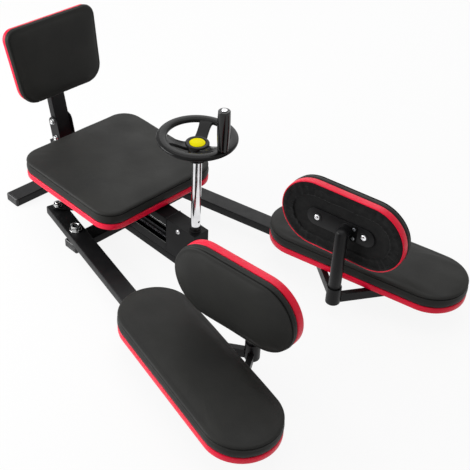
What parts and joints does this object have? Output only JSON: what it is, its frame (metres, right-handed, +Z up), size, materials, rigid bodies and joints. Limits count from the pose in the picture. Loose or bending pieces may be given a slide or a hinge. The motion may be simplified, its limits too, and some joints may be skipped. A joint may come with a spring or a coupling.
{
  "type": "leg stretching machine",
  "caption": "Free-standing leg stretching machine: seat and backrest on a steel beam, two swinging arms with leg and side pads, opened together by a hand wheel.",
  "frame": {"origin": "on the floor below the hand-wheel shaft, at the underside of the front base tube", "axes": "+X from the seat to the hand wheel, +Y to the sitter's left, +Z up"},
  "size_m": [1.2384, 0.8746, 0.5346],
  "materials": {
    "black_steel": "satin",
    "black_plastic": "gloss",
    "chrome": "polished",
    "zinc_steel": "satin",
    "gear_steel": "satin",
    "brass": "satin",
    "black_cover": "satin",
    "red_trim": "satin",
    "plywood": "matte",
    "yellow_plastic": "gloss"
  },
  "bodies": {
    "frame": {"base_tube_rear": "black_steel", "base_tube_front": "black_steel", "top_tube": "black_steel", "rear_cross_tube": "black_steel", "front_cross_tube": "black_steel", "foot_cap_front_left": "black_plastic", "foot_cap_front_right": "black_plastic", "foot_cap_rear_left": "black_plastic", "foot_cap_rear_right": "black_plastic", "rear_upright": "black_steel", "screw_bearing_plate": "black_steel", "gearbox_housing": "black_steel", "gearbox_cross_bolt": "zinc_steel", "shaft_collar": "black_steel", "seat_bracket": "black_steel", "seat_board": "plywood", "seat_trim": "red_trim", "seat_cushion": "black_cover", "arm_pivot_bolt_left": "zinc_steel", "arm_pivot_bolt_right": "zinc_steel", "backrest_bracket": "black_steel", "backrest_pivot_bolt": "zinc_steel"},
    "backrest": {"backrest_post": "black_steel", "backrest_lock_bolt": "zinc_steel", "backrest_board": "plywood", "backrest_trim": "red_trim", "backrest_cushion": "black_cover"},
    "wheel": {"hand_wheel": "black_plastic", "wheel_cap": "yellow_plastic", "wheel_shaft": "chrome", "shaft_pin": "black_steel", "drive_bevel_gear": "gear_steel", "handle_spindle": "chrome"},
    "grip": {"handle_grip": "black_plastic"},
    "screw": {"lead_screw": "zinc_steel", "screw_bevel_gear": "gear_steel"},
    "carriage": {"carriage_block": "black_steel", "drive_nut": "brass"},
    "link_left": {"link_plate_left": "black_steel", "link_bolt_left": "zinc_steel"},
    "link_right": {"link_plate_right": "black_steel", "link_bolt_right": "zinc_steel"},
    "arm_left": {"arm_tube_left": "black_steel", "arm_brace_left": "black_steel", "leg_board_left": "plywood", "leg_trim_left": "red_trim", "leg_cushion_left": "black_cover"},
    "arm_right": {"arm_tube_right": "black_steel", "arm_brace_right": "black_steel", "leg_board_right": "plywood", "leg_trim_right": "red_trim", "leg_cushion_right": "black_cover"},
    "side_pad_left": {"side_post_left": "black_steel", "side_board_left": "plywood", "side_trim_left": "red_trim", "side_cushion_left": "black_cover"},
    "side_pad_right": {"side_post_right": "black_steel", "side_board_right": "plywood", "side_trim_right": "red_trim", "side_cushion_right": "black_cover"}
  },
  "joints": [
    {"name": "right_arm_swing", "type": "hinge", "parent": "frame", "child": "arm_right", "pos_m": [-0.2843, -0.174, 0.035], "axis": [0, 0, 1], "range_deg": [-77.8, 6]},
    {"name": "left_arm_swing", "type": "hinge", "parent": "frame", "child": "arm_left", "pos_m": [-0.2843, 0.174, 0.035], "axis": [0, 0, 1], "range_deg": [-6, 77.8]},
    {"name": "carriage_slide", "type": "slide", "parent": "frame", "child": "carriage", "axis": [1, 0, 0], "range_m": [-0.0125, 0.158]},
    {"name": "right_link_swing", "type": "hinge", "parent": "carriage", "child": "link_right", "pos_m": [-0.27424, -0.03, 0.062], "axis": [0, 0, 1], "range_deg": [-34.5, 2.7]},
    {"name": "left_link_swing", "type": "hinge", "parent": "carriage", "child": "link_left", "pos_m": [-0.27424, 0.03, 0.062], "axis": [0, 0, 1], "range_deg": [-2.7, 34.5]},
    {"name": "lead_screw_spin", "type": "hinge", "parent": "frame", "child": "screw", "pos_m": [0, 0, 0.0475], "axis": [1, 0, 0], "range_deg": [-437, 5662]},
    {"name": "wheel_spin", "type": "hinge", "parent": "frame", "child": "wheel", "pos_m": [0, 0, 0], "axis": [0, 0, 1], "range_deg": [-437, 5662]},
    {"name": "grip_spin", "type": "hinge", "parent": "wheel", "child": "grip", "pos_m": [0.0875, 0, 0.4233], "axis": [0, 0, 1], "continuous": true},
    {"name": "right_pad_swivel", "type": "hinge", "parent": "arm_right", "child": "side_pad_right", "pos_m": [0.3564, -0.1468, 0.0383], "axis": [0, 0, 1], "range_deg": [-15, 15]},
    {"name": "left_pad_swivel", "type": "hinge", "parent": "arm_left", "child": "side_pad_left", "pos_m": [0.3564, 0.1468, 0.0383], "axis": [0, 0, 1], "range_deg": [-15, 15]},
    {"name": "backrest_tilt", "type": "hinge", "parent": "frame", "child": "backrest", "pos_m": [-0.567, 0, 0.208], "axis": [0, 1, 0], "range_deg": [-10, 8]}
  ],
  "couplings": [
    {"joint": "left_arm_swing", "follows": "right_arm_swing", "ratio": -1},
    {"joint": "carriage_slide", "follows": "right_arm_swing", "m_per_rad": -0.1158},
    {"joint": "right_link_swing", "follows": "right_arm_swing", "ratio": 0.443},
    {"joint": "left_link_swing", "follows": "right_arm_swing", "ratio": -0.443},
    {"joint": "lead_screw_spin", "follows": "right_arm_swing", "ratio": -72.76},
    {"joint": "wheel_spin", "follows": "right_arm_swing", "ratio": -72.76}
  ]
}
